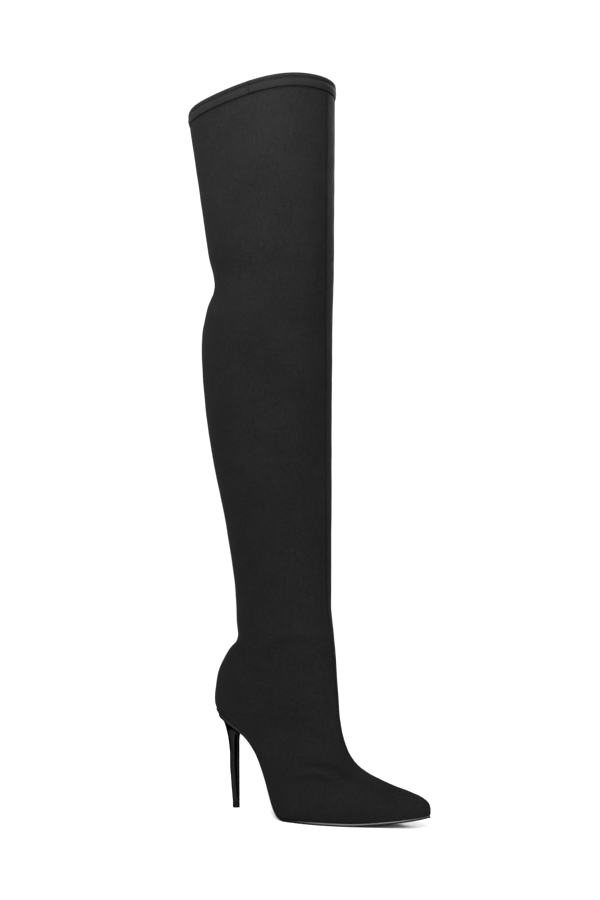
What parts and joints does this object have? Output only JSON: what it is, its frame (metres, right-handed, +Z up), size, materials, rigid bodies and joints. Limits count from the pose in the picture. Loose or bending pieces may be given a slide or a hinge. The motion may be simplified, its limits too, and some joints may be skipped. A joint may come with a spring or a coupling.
{
  "type": "thigh-high stiletto boot",
  "caption": "Thigh-high stretch boot for the right foot, with a pointed toe, a slim stiletto heel, a banded collar and a zip on the inner side",
  "frame": {"origin": "on the floor plane the boot stands on, under the middle of its bounding box", "axes": "+X points to the toe, +Y to the inner side of the leg (the wearer's left, as this is a right boot), and +Z up"},
  "size_m": [0.2815, 0.1292, 0.7475],
  "materials": {
    "stretch cloth": "matt black stretch cloth with a fine close nap, bonded to a thin lining",
    "sole rubber": "satin black sole rubber",
    "heel lacquer": "smooth gloss black lacquer",
    "sock cloth": "black sock lining on a thin board",
    "zip teeth": "black moulded coil on woven tape",
    "zip metal": "polished silvery metal"
  },
  "bodies": {
    "boot": {"upper": "stretch cloth", "collar_band": "stretch cloth", "outsole": "sole rubber", "insole": "sock cloth", "heel": "heel lacquer", "heel_tip": "sole rubber", "zip_chain": "zip teeth", "zip_slider": "zip metal"},
    "zip_pull": {"zip_pull": "zip metal"}
  },
  "joints": [
    {"name": "zip_pull_hinge", "type": "hinge", "parent": "boot", "child": "zip_pull", "pos_m": [-0.03429, 0.04948, 0.32904], "axis": [0.9969, -0.0784, 0], "range_deg": [0, 165]}
  ]
}
